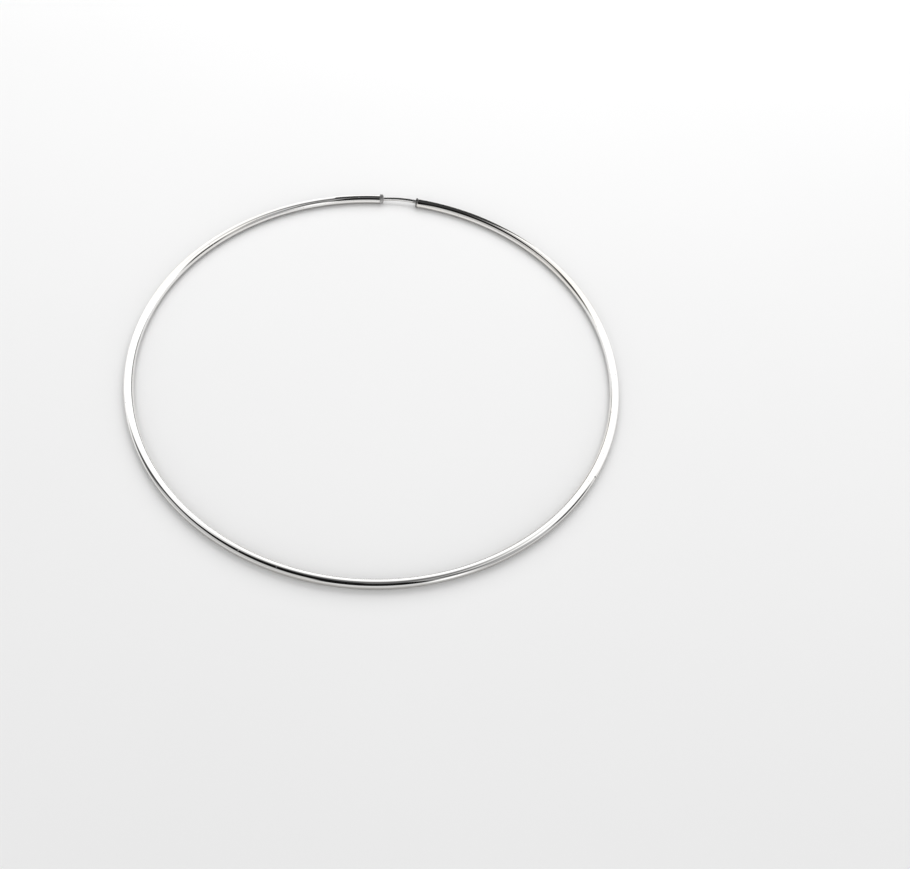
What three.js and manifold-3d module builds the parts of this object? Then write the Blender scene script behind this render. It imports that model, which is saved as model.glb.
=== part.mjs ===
// Endless hoop earring: a thin hollow tube bent into a large circle and closed by a springy ear wire.
// The wire is soldered into a domed plug in one tube end, crosses a short gap and slides into the other
// end, the open catch end. The earring lies flat: +Z is up, z = 0 is the surface under it, and the gap is
// on the +Y side. Millimetres.

import * as THREE from 'three';
import { mergeVertices } from 'three/addons/utils/BufferGeometryUtils.js';
import Module from 'manifold-3d';

const wasm = await Module();
wasm.setup();

// Driving dimensions
const OUTSIDE_DIAMETER = 75;
const TUBE_DIAMETER = 1.5;
const TUBE_WALL = 0.2;
const GAP_ANGLE = 10; // between the tube's two ends, seen from the hoop's centre, degrees
const WIRE_DIAMETER = 0.6;
const WIRE_BOW = 0.27; // how far the wire stands off the tube's centreline where it bows most
const WIRE_BOW_PEAK = 88.5; // the angle where that is, nearer the catch end
const WIRE_BOW_REACH = 10; // degrees to either side, where the bow has died away
const WIRE_BOW_TILT = 35; // the bow points outwards and this many degrees up
const WIRE_IN_CATCH = 8; // length of wire inside the catch end
const LIP_DIAMETER = 1.6; // proud rim round the catch end's mouth
const LIP_LENGTH = 0.35;
const LIP_OVERHANG = 0.05; // how far the rim stands out past the tube's cut end, as a shallow countersink
const PLUG_DIAMETER = 1.64; // head of the end plug
const PLUG_LENGTH = 0.6;
const PLUG_RIM_LENGTH = 0.3; // the straight part of the head's side
const PLUG_FACE_DIAMETER = 0.9; // the flat left in the middle of the head's dome
const PLUG_FIT_GAP = 0.05; // round the plug's stem in the bore, and between its head and the tube's end

// Facets and steps
const TUBE_SIDES = 12; // a multiple of 4, so that a flat facet faces down, up, in and out
const WIRE_SIDES = 8;
const STEP_ANGLE = 5; // of the tube's sweep, degrees
const WIRE_STEP_ANGLE = 1.25;
const DOME_SIDES = 24;
const DOME_STEPS = 4;
const MERGE_DISTANCE = 1e-5; // corners closer than this are one corner

// Worked out from the driving dimensions
const TUBE_RADIUS = TUBE_DIAMETER / 2;
const BORE_RADIUS = TUBE_RADIUS - TUBE_WALL;
const HOOP_RADIUS = OUTSIDE_DIAMETER / 2 - TUBE_RADIUS; // of the tube's centreline
const CATCH_END = 90 - GAP_ANGLE / 2; // angles run counter-clockwise from +X
const WIRE_END = 90 + GAP_ANGLE / 2;

// Looks
const SILVER = new THREE.Color(0.86, 0.85, 0.83);
const TUBE_ROUGHNESS = 0.06; // polished
const WIRE_ROUGHNESS = 0.15; // drawn and lightly polished

function degreesAlong(length) {
  return THREE.MathUtils.radToDeg(length / HOOP_RADIUS);
}

// A path round the hoop's centreline, from one angle to another, that may bow outwards and up on the way.
class HoopPath extends THREE.Curve {
  constructor(from, to, bowAt = () => 0) {
    super();
    this.from = from;
    this.to = to;
    this.bowAt = bowAt;
  }

  getPoint(t, target = new THREE.Vector3()) {
    const angle = THREE.MathUtils.lerp(this.from, this.to, t);
    const turn = THREE.MathUtils.degToRad(angle);
    const tilt = THREE.MathUtils.degToRad(WIRE_BOW_TILT);
    const bow = this.bowAt(angle);
    const radius = HOOP_RADIUS + bow * Math.cos(tilt);
    return target.set(radius * Math.cos(turn), radius * Math.sin(turn), bow * Math.sin(tilt));
  }
}

// Corners of a regular polygon round a circle of the given radius, with a flat side facing each axis.
function polygonPoints(radius, sides) {
  const points = [];
  for (let side = 0; side < sides; side += 1) {
    const turn = ((side + 0.5) * 2 * Math.PI) / sides;
    const corner = radius / Math.cos(Math.PI / sides);
    points.push(new THREE.Vector2(corner * Math.cos(turn), corner * Math.sin(turn)));
  }
  return points;
}

// A round bar, or a tube where a bore radius is given, carried along a path.
function sweep(path, steps, radius, sides, boreRadius = 0) {
  const section = new THREE.Shape(polygonPoints(radius, sides));
  if (boreRadius > 0) {
    section.holes.push(new THREE.Path(polygonPoints(boreRadius, sides)));
  }
  return new THREE.ExtrudeGeometry(section, { extrudePath: path, steps, bevelEnabled: false });
}

function toSolid(geometry) {
  geometry.deleteAttribute('normal');
  geometry.deleteAttribute('uv');
  const merged = mergeVertices(geometry, MERGE_DISTANCE);
  return new wasm.Manifold(new wasm.Mesh({
    numProp: 3,
    vertProperties: new Float32Array(merged.getAttribute('position').array),
    triVerts: new Uint32Array(merged.getIndex().array),
  }));
}

function toGeometry(solid) {
  const mesh = solid.getMesh();
  const geometry = new THREE.BufferGeometry();
  geometry.setAttribute('position', new THREE.BufferAttribute(mesh.vertProperties, 3));
  geometry.setIndex(new THREE.BufferAttribute(mesh.triVerts, 1));
  geometry.computeVertexNormals();
  return geometry;
}

// The rim round the catch end's mouth: wider than the tube outside and inside, and level with its underside.
function catchLip() {
  const from = CATCH_END + degreesAlong(LIP_OVERHANG);
  const to = CATCH_END - degreesAlong(LIP_LENGTH - LIP_OVERHANG);
  const lip = sweep(new HoopPath(from, to), 1, LIP_DIAMETER / 2, TUBE_SIDES, TUBE_RADIUS - TUBE_WALL / 2);
  return lip.translate(0, 0, (LIP_DIAMETER - TUBE_DIAMETER) / 2);
}

// The tube goes clockwise from the catch end, all the way round to the end with the plug.
function hoopTube() {
  const steps = (360 - GAP_ANGLE) / STEP_ANGLE;
  const path = new HoopPath(CATCH_END, WIRE_END - 360);
  const tube = sweep(path, steps, TUBE_RADIUS, TUBE_SIDES, BORE_RADIUS);
  return toGeometry(toSolid(tube).add(toSolid(catchLip())));
}

// The head of the plug: a flat-backed dome, level with the tube's underside, facing across the gap.
function plugHead() {
  const radius = PLUG_DIAMETER / 2;
  const profile = new THREE.Path();
  profile.moveTo(0, 0);
  profile.lineTo(radius, 0);
  profile.lineTo(radius, PLUG_RIM_LENGTH);
  profile.quadraticCurveTo(radius, PLUG_LENGTH, PLUG_FACE_DIAMETER / 2, PLUG_LENGTH);
  profile.lineTo(0, PLUG_LENGTH);
  const dome = new THREE.LatheGeometry(profile.getPoints(DOME_STEPS), DOME_SIDES);
  const back = THREE.MathUtils.degToRad(WIRE_END - degreesAlong(PLUG_FIT_GAP));
  dome.rotateZ(back - Math.PI);
  return dome.translate(HOOP_RADIUS * Math.cos(back), HOOP_RADIUS * Math.sin(back), radius - TUBE_RADIUS);
}

// The stem of the plug sits in the tube's bore, one sweep step long so that it follows the bore.
function plugStem() {
  const from = WIRE_END - degreesAlong(PLUG_LENGTH / 2);
  return sweep(new HoopPath(from, WIRE_END + STEP_ANGLE), 1, BORE_RADIUS - PLUG_FIT_GAP, TUBE_SIDES);
}

// The wire bows across the gap by a cosine squared that dies away inside the plug and the catch end.
function wireBowAt(angle) {
  const fromPeak = Math.min(Math.abs(angle - WIRE_BOW_PEAK) / WIRE_BOW_REACH, 1);
  return WIRE_BOW * Math.cos((fromPeak * Math.PI) / 2) ** 2;
}

function earWire() {
  const to = CATCH_END - degreesAlong(WIRE_IN_CATCH);
  const steps = Math.round((WIRE_END - to) / WIRE_STEP_ANGLE);
  const wire = sweep(new HoopPath(WIRE_END, to, wireBowAt), steps, WIRE_DIAMETER / 2, WIRE_SIDES);
  return toGeometry(toSolid(wire).add(toSolid(plugHead())).add(toSolid(plugStem())));
}

function named(name, geometry, roughness) {
  const silver = new THREE.MeshStandardMaterial({ color: SILVER, metalness: 1, roughness });
  const mesh = new THREE.Mesh(geometry, silver);
  mesh.name = name;
  return mesh;
}

const earring = new THREE.Group();
earring.add(named('hoop_tube', hoopTube(), TUBE_ROUGHNESS));
earring.add(named('ear_wire', earWire(), WIRE_ROUGHNESS));
earring.position.z = TUBE_RADIUS;

export default earring;
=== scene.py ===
"""Looks of a thin endless hoop earring in polished silver, lying on a pale table under soft studio light.

Metres, +Z up. The hoop's circle is centred on the Z axis and lies on z = 0, with its gap on the +Y side.
Angles round the hoop run counter-clockwise from +X, in degrees.
"""

import math

import bpy
import numpy as np
from mathutils import Matrix, Vector


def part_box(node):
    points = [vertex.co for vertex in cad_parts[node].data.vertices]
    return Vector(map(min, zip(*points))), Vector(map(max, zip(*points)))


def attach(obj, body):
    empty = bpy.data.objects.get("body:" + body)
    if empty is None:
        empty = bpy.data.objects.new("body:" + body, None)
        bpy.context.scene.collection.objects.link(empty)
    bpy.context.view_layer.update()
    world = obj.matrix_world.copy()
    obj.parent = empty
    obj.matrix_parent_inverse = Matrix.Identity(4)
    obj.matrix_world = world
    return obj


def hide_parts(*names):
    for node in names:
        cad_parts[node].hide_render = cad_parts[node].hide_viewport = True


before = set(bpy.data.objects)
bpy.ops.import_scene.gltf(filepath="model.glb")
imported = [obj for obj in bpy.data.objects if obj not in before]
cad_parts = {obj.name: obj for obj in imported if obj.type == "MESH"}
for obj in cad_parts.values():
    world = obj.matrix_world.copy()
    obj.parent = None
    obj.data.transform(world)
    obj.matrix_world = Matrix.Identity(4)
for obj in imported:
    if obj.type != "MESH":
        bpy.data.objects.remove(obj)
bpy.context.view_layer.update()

MM = 0.001

# Sizes of the earring, as its solids have them, but for a stem that is 0.2 mm shorter
TUBE_DIAMETER = 1.5 * MM
TUBE_WALL = 0.2 * MM
GAP_ANGLE = 10.0
WIRE_DIAMETER = 0.6 * MM
WIRE_BOW = 0.27 * MM
WIRE_BOW_PEAK = 88.5
WIRE_BOW_REACH = 10.0
WIRE_BOW_TILT = math.radians(35.0)
WIRE_IN_CATCH = 8.0 * MM
LIP_DIAMETER = 1.6 * MM
LIP_LENGTH = 0.35 * MM
LIP_OVERHANG = 0.05 * MM
PLUG_DIAMETER = 1.64 * MM
PLUG_LENGTH = 0.6 * MM
PLUG_FIT_GAP = 0.05 * MM
PLUG_STEM_LENGTH = 3.0 * MM

# Finer shapes
TUBE_EDGE = 0.02 * MM  # rounding of the lip and of the tube's end
MOUTH_DEPTH = 0.1 * MM  # how far in the mouth's funnel goes
PLUG_SEAM = 0.004 * MM  # between the tube's end and the plug's head
PLUG_EDGE = 0.04 * MM  # rounding of the head's back edge
PLUG_DOME = 0.33 * MM  # length of the head that is domed
SOLDER_FILLET = 0.12 * MM

# Rings along each stretch, and points round a ring
BORE_RINGS = 260
TUBE_RINGS = 900
STEM_RINGS = 24
DOME_RINGS = 20
WIRE_RINGS = 260
ROUND_RINGS = 8
EDGE_RINGS = 6
TUBE_AROUND = 64
WIRE_AROUND = 48

tube_low, tube_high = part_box("hoop_tube")
TUBE_RADIUS = TUBE_DIAMETER / 2
BORE_RADIUS = TUBE_RADIUS - TUBE_WALL
WIRE_RADIUS = WIRE_DIAMETER / 2
HOOP_RADIUS = (tube_high.x - tube_low.x) / 2 - TUBE_RADIUS
CATCH_END = 90.0 - GAP_ANGLE / 2
WIRE_END = 90.0 + GAP_ANGLE / 2

# Marks and tints. The nick's place is its length from the gap's middle, and how far out and up from the
# centreline it is, in millimetres. The two tints are shares of the silver's own tone: a warm bloom, and a
# painted shade that darkens the lower flank, standing in for the shaded table that the metal mirrors there.
NICK = (75.5, 0.5, 0.5)
WARM_BLOOM = (1.0, 0.975, 0.93)
# painted shade: the lower flank's darkening, standing in for the shaded table mirrored there
UNDERSIDE_PAINTED_SHADE = (0.5, 0.49, 0.475)
PIT_GREY = 0.12
SATIN_FADE = 0.1

# Camera: where it aims and how it is held
FOCAL_LENGTH_MM = 36.63
SENSOR_WIDTH_MM = 36.0
NEAREST_SEEN = 0.005
AIM = Vector((0.34, -0.32, 0.0)) * HOOP_RADIUS
CAMERA_DISTANCE = 3.7 * HOOP_RADIUS
CAMERA_HEADING = math.radians(-4.6)
CAMERA_TILT = math.radians(55.51)
CAMERA_ROLL = math.radians(9.04)

# Table and key light
TABLE_HALF = 3.0
KEY_WIDTH = 0.46
KEY_DEPTH = 0.4
KEY_WATTS = 1.23
KEY_PLACE = Vector((0.02, 0.27, 0.30))

# Brightness of the room: as the camera sees it, as it lights matt surfaces, and as the metal mirrors it
PLAIN_BACKDROP = 0.62
ROOM_LIGHT = 0.64
ROOM_LIGHT_LEAN = 1.0  # how much of the room's light moves from the back to the front
WHITE_WALL = 1.3

# Patches of the room: centre azimuth, half width, lowest and highest elevation, softness of the edge,
# brightness. Azimuth is 0 along +Y and 90 along +X.
ROOM_PATCHES = [
    (0.0, 200.0, 67.0, 100.0, 12.0, 0.2),  # grey ceiling
    (180.0, 100.0, 76.0, 100.0, 5.0, 0.15),  # ceiling in the shade over the front
    (-128.0, 38.0, -90.0, 56.0, 10.0, 0.62),  # left wall
    (-87.0, 11.0, 10.0, 56.0, 6.0, 0.07),  # post at its far edge
    (122.0, 17.0, -90.0, 60.0, 9.0, 0.46),  # right wall
    (95.0, 11.0, 3.0, 35.0, 6.0, 0.06),  # post at its far edge
    (180.0, 28.0, -90.0, 20.0, 8.0, 0.70),  # pale low front
    (149.0, 6.0, -90.0, 36.0, 4.0, 1.3),  # bright slit beside it
    (-132.0, 47.0, 37.0, 80.0, 5.0, 0.006),  # black cloth over the front, its left part
    (140.0, 12.0, 32.0, 66.0, 8.0, 0.13),  # its thin right edge
    (174.0, 23.0, 23.0, 72.0, 4.0, 0.006),  # its middle, which hangs lower
]

# The dark card over the gap: distances from the hoop's centreline, heights, and angles round the hoop
FLAG_FOOT = 8 * MM
FLAG_LEAN = -1.5 * MM
FLAG_LOW_FOOT = 2.0 * MM
FLAG_HIGH_FOOT = 6.0 * MM
FLAG_HEIGHT = 15 * MM
FLAG_FROM = 52.0
FLAG_TO = 106.0
FLAG_TAPER = 26.0
FLAG_STEPS = 60
FLAG_GLOW = 0.05


# ---------------------------------------------------------------- shapes


def degrees_along(length):
    """The angle that a length takes up round the hoop's centreline: length over radius."""
    return np.degrees(length / HOOP_RADIUS)


def ring_grid(stations, around):
    """Rings carried round the hoop: their points, and the same points with the hoop unbent.

    A station is an angle, a ring's radius, and how far its centre stands outwards and upwards from the
    hoop's centreline. The ring's points are its centre plus radius times (cos f outwards + sin f upwards),
    with f going once round. Unbent, in millimetres, X is the length from the gap's middle, and Y and Z are
    how far outwards and upwards the point stands from the centreline.
    """
    angle, radius, out, up = np.array(stations).T[:, :, None]
    f = 2 * np.pi * np.arange(around) / around
    outwards = out + radius * np.cos(f)
    upwards = up + radius * np.sin(f)
    a = np.radians(angle) + 0 * f
    from_axis = HOOP_RADIUS + outwards
    points = np.stack([from_axis * np.cos(a), from_axis * np.sin(a), TUBE_RADIUS + upwards], axis=-1)
    unbent = np.stack([(np.pi / 2 - a) * HOOP_RADIUS, outwards, upwards], axis=-1) / MM
    return points, unbent


def ring_mesh(name, stations, around, looped):
    """A closed mesh through rings: looped joins the last ring to the first, else flat caps close the ends."""
    points, unbent = ring_grid(stations, around)
    count = len(stations)
    row = np.arange(count if looped else count - 1)[:, None]
    column = np.arange(around)[None, :]
    next_row = (row + 1) % count
    next_column = (column + 1) % around
    corners = [row * around + column, row * around + next_column,
               next_row * around + next_column, next_row * around + column]
    faces = np.stack(np.broadcast_arrays(*corners), axis=-1).reshape(-1, 4).tolist()
    if not looped:
        faces.append(list(range(around))[::-1])
        faces.append(list(range((count - 1) * around, count * around)))
    mesh = bpy.data.meshes.new(name)
    mesh.from_pydata(points.reshape(-1, 3).tolist(), [], faces)
    attribute = mesh.attributes.new("straightened", "FLOAT_VECTOR", "POINT")
    attribute.data.foreach_set("vector", unbent.reshape(-1).astype(np.float32))
    mesh.shade_smooth()
    mesh.update()
    piece = bpy.data.objects.new(name, mesh)
    bpy.context.scene.collection.objects.link(piece)
    return piece


def row_of(angle, radius, out=0.0, up=0.0):
    """Stations for ring_grid, one for each value of the arrays, with single values repeated."""
    return np.stack(np.broadcast_arrays(np.atleast_1d(angle), radius, out, up), axis=-1)


def arc(start, stop, count):
    """Angles in radians from one number of degrees to another, ends included."""
    return np.radians(np.linspace(start, stop, count))


def rounded_edge(angle, radius, size, start, stop, up=0.0):
    """Stations of a rounded edge: an arc of the given size in the plane of length and radius.

    Its middle is at the given angle and radius, and it runs from start to stop degrees, with 0 along the
    length and 90 along the radius.
    """
    f = arc(start, stop, EDGE_RINGS)
    return row_of(angle + degrees_along(size * np.cos(f)), radius + size * np.sin(f), up=up)


def hoop_tube():
    """The hollow tube, as one closed run of rings.

    It goes in along the bore from the plug's end, out round the lip and back along the outside. A ring
    stands close to each corner, so that the smooth shading turns only there.
    """
    plug_end = WIRE_END - 360.0
    mouth = CATCH_END + degrees_along(LIP_OVERHANG - TUBE_EDGE)
    shoulder = CATCH_END - degrees_along(LIP_LENGTH - LIP_OVERHANG)
    throat = CATCH_END - degrees_along(MOUTH_DEPTH)
    lip_up = (LIP_DIAMETER - TUBE_DIAMETER) / 2
    lip_middle = LIP_DIAMETER / 2 - TUBE_EDGE
    one_edge = degrees_along(TUBE_EDGE)
    bore = row_of(np.linspace(plug_end + 2 * one_edge, throat, BORE_RINGS), BORE_RADIUS)
    wall_middle = TUBE_RADIUS - TUBE_WALL / 2
    inside_mouth = rounded_edge(mouth, wall_middle + TUBE_EDGE, TUBE_EDGE, 270, 360, lip_up / 2)
    outside_mouth = rounded_edge(mouth, lip_middle, TUBE_EDGE, 0, 90, lip_up)
    lip_back = rounded_edge(shoulder + one_edge, lip_middle, TUBE_EDGE, 90, 160, lip_up)
    beside_lip = row_of(shoulder - one_edge, TUBE_RADIUS)
    outside = row_of(np.linspace(shoulder - 2 * one_edge, plug_end + 2 * one_edge, TUBE_RINGS), TUBE_RADIUS)
    end_outside = rounded_edge(plug_end + one_edge, TUBE_RADIUS - TUBE_EDGE, TUBE_EDGE, 90, 180)
    end_inside = rounded_edge(plug_end + one_edge, BORE_RADIUS + TUBE_EDGE, TUBE_EDGE, 180, 270)
    stations = np.concatenate([bore, inside_mouth, outside_mouth, lip_back, beside_lip, outside, end_outside,
                               end_inside])
    return ring_mesh("hoop_tube_polished", stations, TUBE_AROUND, looped=True)


def wire_bow(angle):
    """How far outwards and upwards the ear wire bows from the centreline: a cosine squared round its peak."""
    from_peak = np.minimum(np.abs(angle - WIRE_BOW_PEAK) / WIRE_BOW_REACH, 1.0)
    bow = WIRE_BOW * np.cos(from_peak * np.pi / 2) ** 2
    return bow * math.cos(WIRE_BOW_TILT), bow * math.sin(WIRE_BOW_TILT)


def ear_wire():
    """The plug's stem, its domed head, the solder's small fillet and the wire, as one run of rings.

    The dome is a quarter of an ellipse from the head's rim to the fillet, and its middle moves over to the
    bowed wire's. The fillet is most of a quarter circle that meets the wire, and the wire's tip is a half
    ball with a tiny flat end.
    """
    head_radius = PLUG_DIAMETER / 2
    head_up = head_radius - TUBE_RADIUS
    back = WIRE_END - degrees_along(PLUG_SEAM)
    front = WIRE_END - degrees_along(PLUG_FIT_GAP + PLUG_LENGTH)
    tip = CATCH_END - degrees_along(WIRE_IN_CATCH)
    stem = row_of(np.linspace(WIRE_END + degrees_along(PLUG_STEM_LENGTH), back, STEM_RINGS),
                  BORE_RADIUS - PLUG_FIT_GAP)
    rim = rounded_edge(back - degrees_along(PLUG_EDGE), head_radius - PLUG_EDGE, PLUG_EDGE, 0, 90, head_up)
    face_radius = WIRE_RADIUS + SOLDER_FILLET
    wire_out, wire_up = wire_bow(front)
    f = arc(0, 90, DOME_RINGS)
    moved = 1 - np.cos(f)
    dome = row_of(front + degrees_along(PLUG_DOME * (1 - np.sin(f))),
                  face_radius + (head_radius - face_radius) * np.cos(f),
                  wire_out * moved, head_up + (wire_up - head_up) * moved)
    f = arc(15, 90, ROUND_RINGS)
    fillet = row_of(front - degrees_along(SOLDER_FILLET * (1 - np.cos(f))),
                    face_radius - SOLDER_FILLET * np.sin(f), wire_out, wire_up)
    wire_from = front - degrees_along(1.3 * SOLDER_FILLET)
    angle = np.linspace(wire_from, tip + degrees_along(WIRE_RADIUS), WIRE_RINGS)
    wire = row_of(angle, WIRE_RADIUS, *wire_bow(angle))
    f = arc(15, 85, ROUND_RINGS)
    ball = row_of(tip + degrees_along(WIRE_RADIUS * (1 - np.sin(f))), WIRE_RADIUS * np.cos(f))
    stations = np.concatenate([stem, rim, dome, fillet, wire, ball])
    return ring_mesh("ear_wire_soldered", stations, WIRE_AROUND, looped=False)


# ---------------------------------------------------------------- shader maths


class Value:
    """A node's output socket. Arithmetic on it adds Math nodes to the same tree."""

    def __init__(self, graph, socket):
        self.graph = graph
        self.socket = socket

    def math(self, operation, *others):
        inputs = dict(enumerate((self, *others)))
        return self.graph.node("ShaderNodeMath", {"operation": operation}, inputs)

    def __add__(self, other):
        return self.math("ADD", other)

    def __sub__(self, other):
        return self.math("SUBTRACT", other)

    def __rsub__(self, other):
        return self.graph.node("ShaderNodeMath", {"operation": "SUBTRACT"}, {0: other, 1: self})

    def __mul__(self, other):
        return self.math("MULTIPLY", other)

    def __abs__(self):
        return self.math("ABSOLUTE")

    __radd__ = __add__
    __rmul__ = __mul__

    def smooth(self, low, high):
        """0 below low, 1 above high, and a smooth step between them."""
        settings = {"interpolation_type": "SMOOTHSTEP"}
        return self.graph.node("ShaderNodeMapRange", settings, {0: self, 1: low, 2: high, 3: 0.0, 4: 1.0})


class Graph:
    """The nodes of a material, or of the world."""

    def __init__(self, owner):
        owner.use_nodes = True
        self.tree = owner.node_tree
        self.tree.nodes.clear()

    def node(self, kind, settings=None, inputs=None, output=0):
        """Adds a node: its settings first, then the values or links of its sockets."""
        node = self.tree.nodes.new(kind)
        for key, value in (settings or {}).items():
            setattr(node, key, value)
        for key, value in (inputs or {}).items():
            if isinstance(value, Value):
                self.tree.links.new(value.socket, node.inputs[key])
            else:
                node.inputs[key].default_value = value
        return Value(self, node.outputs[output]) if node.outputs else node

    def mix(self, factor, a, b):
        """Colour a where factor is 0, and b where it is 1."""
        return self.node("ShaderNodeMix", {"data_type": "RGBA"}, {0: factor, 6: a, 7: b}, output=2)

    def noise(self, vector, scale, detail=2.0, roughness=0.5):
        inputs = {"Vector": vector, "Scale": scale, "Detail": detail, "Roughness": roughness}
        return self.node("ShaderNodeTexNoise", None, inputs)

    def cells(self, vector, feature):
        """Distances in a Voronoi pattern: to the nearest dot (F1), or to the cells' edges."""
        inputs = {"Vector": vector, "Scale": 1.0, "Randomness": 1.0}
        return self.node("ShaderNodeTexVoronoi", {"feature": feature}, inputs)

    def stretched(self, vector, factors):
        return self.node("ShaderNodeVectorMath", {"operation": "MULTIPLY"}, {0: vector, 1: factors})


# ---------------------------------------------------------------- finishes


def grey(value):
    return (value, value, value, 1.0)


def toned(tone, shares):
    """A colour whose channels are the tone's, each multiplied by its share."""
    return (*(channel * share for channel, share in zip(tone, shares)), 1.0)


def polished_silver(name, tone, shine, line_depth, pit_depth, satin_from, satin_to, satin_painted_shade_share):
    """Polished silver with draw lines along it, hair scratches across it, a few pits and a faint warm bloom.

    The stretches between satin_from and satin_to, in millimetres to either side of the gap's middle, are
    satin, as solder and a filed rim are after pickling, and are also darkened to a share of the tone as
    painted shade, for the dark reflection there. Just over the lower half of the section is darkened as
    painted shade, higher on the outside than on the inside, for the shaded table that the lower flank
    mirrors. shine is the roughness of the polished part, and depths are in millimetres.
    """
    material = bpy.data.materials.new(name)
    g = Graph(material)
    along = g.node("ShaderNodeAttribute", {"attribute_name": "straightened"}, output=1)
    length, outwards, rise = (g.node("ShaderNodeSeparateXYZ", None, {0: along}, output=axis)
                              for axis in range(3))

    # Patterns: fine across the metal and long along it
    draw_lines = g.noise(g.stretched(along, (0.12, 7.0, 7.0)), 1.0, 4.0, 0.6)
    fine_lines = g.noise(g.stretched(along, (0.35, 30.0, 30.0)), 1.0, 2.0, 0.5)
    smudges = g.noise(g.stretched(along, (0.16, 0.8, 0.8)), 1.0, 3.0, 0.55)
    waves = g.noise(g.stretched(along, (0.22, 0.5, 0.5)), 1.0, 1.0, 0.5)
    bloom = g.noise(g.stretched(along, (0.045, 0.4, 0.4)), 1.0, 2.0, 0.5).smooth(0.42, 0.72)
    grain = g.noise(along, 26.0, 3.0, 0.6)
    dots = g.cells(g.stretched(along, (0.8, 1.4, 1.4)), "F1")
    nick = g.node("ShaderNodeVectorMath", {"operation": "DISTANCE"}, {0: along, 1: NICK}, output=1)
    pits = (1.0 - dots.smooth(0.03, 0.075)).math("MAXIMUM", 1.0 - nick.smooth(0.07, 0.2))
    scratches = 1.0 - g.cells(g.stretched(along, (0.9, 3.1, 2.3)), "DISTANCE_TO_EDGE").smooth(0.0, 0.012)

    # Zones
    middle = (satin_from + satin_to) / 2
    half = (satin_to - satin_from) / 2
    satin = 1.0 - abs(abs(length) - middle).smooth(half, half + SATIN_FADE)
    # painted shade: darker over just over the lower half of the section, higher on the outside, for the
    # shaded table mirrored there
    underside_painted_shade = 1.0 - (rise - outwards * 0.3 + smudges * 0.1).smooth(0.12, 0.28)

    height = draw_lines * line_depth + fine_lines * (0.2 * line_depth) + waves * (2.5 * line_depth)
    height = height - pits * pit_depth - scratches * (0.12 * line_depth) + satin * grain * 0.004
    bump = g.node("ShaderNodeBump", None, {"Strength": 1.0, "Distance": MM, "Height": height})
    roughness = shine + smudges.smooth(0.4, 0.75) * 0.05 + pits * 0.25 + scratches * 0.05
    roughness = roughness + satin * (0.42 + grain * 0.12)
    colour = g.mix(bloom * 0.8, (*tone, 1.0), toned(tone, WARM_BLOOM))
    # painted shade mixed into the lower flank's colour
    colour = g.mix(underside_painted_shade * 0.85, colour, toned(tone, UNDERSIDE_PAINTED_SHADE))
    # painted shade: the satin stretches are darkened for the dark reflection at the gap; only their roughness
    # and grain are real satin
    colour = g.mix(satin * 0.9, colour, toned(tone, (satin_painted_shade_share, satin_painted_shade_share, satin_painted_shade_share)))
    colour = g.mix(pits * 0.75, colour, grey(PIT_GREY))
    shader = g.node("ShaderNodeBsdfPrincipled", None,
                    {"Base Color": colour, "Metallic": 1.0, "Roughness": roughness, "Normal": bump})
    g.node("ShaderNodeOutputMaterial", None, {"Surface": shader})
    return material


def table_white():
    """A matt, very pale table top with a faint mottle."""
    material = bpy.data.materials.new("table_white")
    g = Graph(material)
    place = g.node("ShaderNodeTexCoord", output=3)
    mottle = g.noise(place, 18.0, 3.0, 0.5)
    colour = g.mix(mottle, grey(0.85), grey(0.87))
    shader = g.node("ShaderNodeBsdfPrincipled", None,
                    {"Base Color": colour, "Roughness": 0.75, "Specular IOR Level": 0.2})
    g.node("ShaderNodeOutputMaterial", None, {"Surface": shader})
    return material


# ---------------------------------------------------------------- studio


def studio_surroundings():
    """The white room round the table, as brightness by direction: patches in azimuth and elevation.

    The polished metal mirrors the patches, matt surfaces take a plain room light that is stronger from the
    front, and the camera itself sees a plain pale room.
    """
    world = bpy.context.scene.world or bpy.data.worlds.new("studio")
    bpy.context.scene.world = world
    g = Graph(world)
    direction = g.node("ShaderNodeTexCoord", output=0)
    x, y, z = (g.node("ShaderNodeSeparateXYZ", None, {0: direction}, output=axis) for axis in range(3))
    azimuth = g.node("ShaderNodeMath", {"operation": "ARCTAN2"}, {0: x, 1: y}) * math.degrees(1)
    elevation = g.node("ShaderNodeMath", {"operation": "ARCSINE"}, {0: z}) * math.degrees(1)

    def patch(centre, half_width, low, high, soft):
        """1 inside a patch of the room and 0 outside it, with soft edges."""
        turn = g.node("ShaderNodeMath", {"operation": "WRAP"}, {0: azimuth - centre, 1: 180.0, 2: -180.0})
        beside = 1.0 - abs(turn).smooth(half_width - soft, half_width + soft)
        above = elevation.smooth(low - soft, low + soft)
        below = 1.0 - elevation.smooth(high - soft, high + soft)
        return beside * above * below

    light = WHITE_WALL
    for centre, half_width, low, high, soft, brightness in ROOM_PATCHES:
        mask = patch(centre, half_width, low, high, soft)
        light = mask * brightness + (1.0 - mask) * light
    mirrored = g.node("ShaderNodeLightPath", output=3)
    seen = g.node("ShaderNodeLightPath", output=0)
    room_light = (1.0 - y * ROOM_LIGHT_LEAN) * ROOM_LIGHT
    strength = mirrored * light + seen * PLAIN_BACKDROP + (1.0 - mirrored - seen) * room_light
    background = g.node("ShaderNodeBackground", None, {"Color": grey(1.0), "Strength": strength})
    g.node("ShaderNodeOutputWorld", None, {"Surface": background})


def key_light():
    """A large soft light behind the hoop, near enough for the table to fade towards the front.

    Mirrored rays don't meet it.
    """
    data = bpy.data.lights.new("key_light", "AREA")
    data.shape = "RECTANGLE"
    data.size = KEY_WIDTH
    data.size_y = KEY_DEPTH
    data.energy = KEY_WATTS
    light = bpy.data.objects.new("key_light", data)
    facing = KEY_PLACE.to_track_quat("Z", "Y").to_matrix().to_4x4()
    light.matrix_world = Matrix.Translation(KEY_PLACE) @ facing
    light.visible_glossy = False
    bpy.context.scene.collection.objects.link(light)


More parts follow.
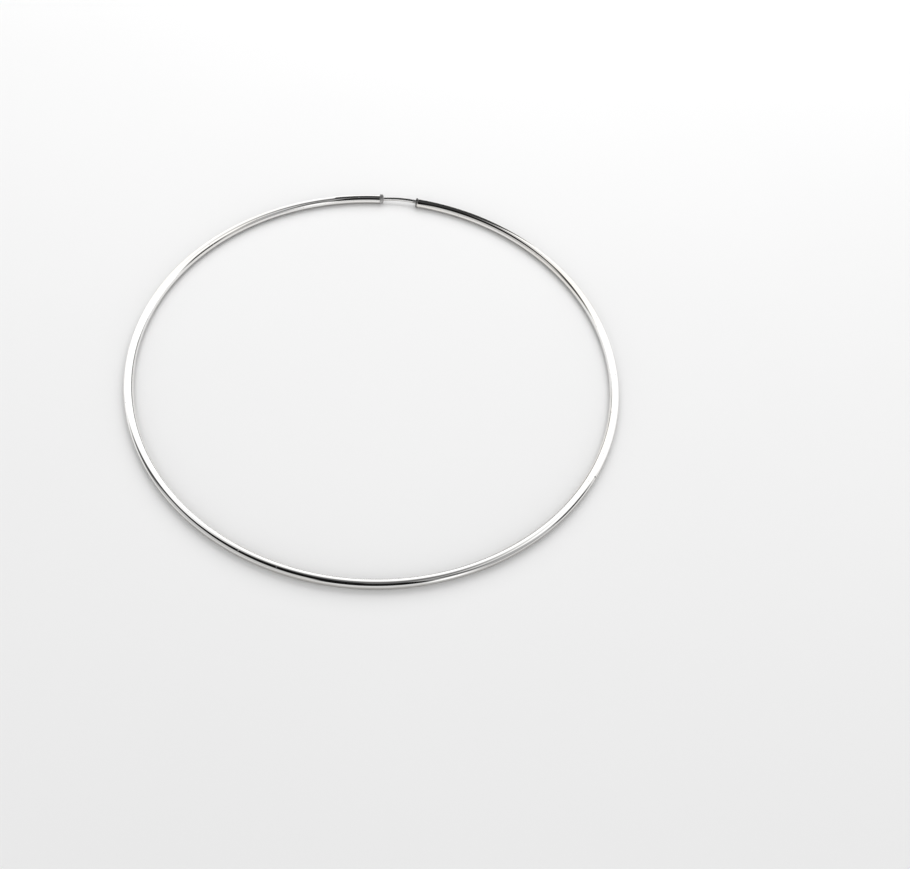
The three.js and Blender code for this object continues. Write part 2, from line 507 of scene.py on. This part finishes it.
def black_flag():
    """A dark card bent round the hoop's gap and leaning over it, for the metal there to mirror.

    Its slope runs from FLAG_FOOT outside the hoop's centreline, at the table's height, in past the
    centreline to FLAG_LEAN at its top. The lower edge is high on the plug's side and low on the catch
    end's side, and the upper one comes down to meet it over the last stretch there. Only mirrored rays
    meet the card.
    """
    angle = np.linspace(FLAG_FROM, FLAG_TO, FLAG_STEPS)[:, None]
    full = np.clip((angle - FLAG_FROM) / FLAG_TAPER, 0.0, 1.0)
    towards_plug = np.clip((angle - CATCH_END) / GAP_ANGLE, 0.0, 1.0)
    foot = FLAG_LOW_FOOT + (FLAG_HIGH_FOOT - FLAG_LOW_FOOT) * towards_plug
    top = foot + (FLAG_HEIGHT - foot) * full
    height = np.hstack([foot, top])
    radius = HOOP_RADIUS + FLAG_FOOT + (FLAG_LEAN - FLAG_FOOT) * height / FLAG_HEIGHT
    turn = np.radians(angle)
    points = np.stack([radius * np.cos(turn), radius * np.sin(turn), height], axis=-1)
    row = 2 * np.arange(len(angle) - 1)[:, None]
    faces = row + np.array([[0, 1, 3, 2]])
    mesh = bpy.data.meshes.new("black_flag")
    mesh.from_pydata(points.reshape(-1, 3).tolist(), [], faces.tolist())
    material = bpy.data.materials.new("black_flag")
    g = Graph(material)
    glow = g.node("ShaderNodeEmission", None, {"Color": grey(1.0), "Strength": FLAG_GLOW})
    g.node("ShaderNodeOutputMaterial", None, {"Surface": glow})
    mesh.materials.append(material)
    flag = bpy.data.objects.new("black_flag", mesh)
    bpy.context.scene.collection.objects.link(flag)
    flag.visible_camera = False
    flag.visible_diffuse = False
    flag.visible_shadow = False


def table():
    """A flat square table top under the earring."""
    corners = np.array([(-1, -1, 0), (1, -1, 0), (1, 1, 0), (-1, 1, 0)]) * TABLE_HALF
    mesh = bpy.data.meshes.new("table_top")
    mesh.from_pydata(corners.tolist(), [], [(0, 1, 2, 3)])
    mesh.materials.append(table_white())
    top = bpy.data.objects.new("table_top", mesh)
    bpy.context.scene.collection.objects.link(top)


def camera():
    """Looks down at the hoop: heading, then tilt below the horizon, then roll about its own line of sight."""
    turned = (Matrix.Rotation(CAMERA_HEADING, 4, "Z")
              @ Matrix.Rotation(math.pi / 2 - CAMERA_TILT, 4, "X")
              @ Matrix.Rotation(CAMERA_ROLL, 4, "Z"))
    sight = turned.to_3x3() @ Vector((0.0, 0.0, -1.0))
    position = AIM + Vector((0.0, 0.0, TUBE_RADIUS)) - CAMERA_DISTANCE * sight
    data = bpy.data.cameras.new("camera")
    data.lens = FOCAL_LENGTH_MM
    data.sensor_width = SENSOR_WIDTH_MM
    data.clip_start = NEAREST_SEEN
    seen_by = bpy.data.objects.new("camera", data)
    seen_by.matrix_world = Matrix.Translation(position) @ turned
    bpy.context.scene.collection.objects.link(seen_by)
    bpy.context.scene.camera = seen_by


# ---------------------------------------------------------------- assembly


def finish_piece(piece, node, material):
    piece.data.materials.append(material)
    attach(piece, "root")
    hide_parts(node)


# the satin shares darken the lip, the tube's end and the plug's head as painted shade
tube_silver = polished_silver("polished_silver_tube", (0.84, 0.835, 0.825), shine=0.028, line_depth=0.0008,
                              pit_depth=0.02, satin_from=2.9, satin_to=3.4, satin_painted_shade_share=0.25)
wire_silver = polished_silver("silver_ear_wire", (0.80, 0.795, 0.785), shine=0.16, line_depth=0.002,
                              pit_depth=0.0, satin_from=2.6, satin_to=3.3, satin_painted_shade_share=0.62)
finish_piece(hoop_tube(), "hoop_tube", tube_silver)
finish_piece(ear_wire(), "ear_wire", wire_silver)

camera()
table()
studio_surroundings()
key_light()
black_flag()
bpy.context.scene.view_settings.view_transform = "Standard"
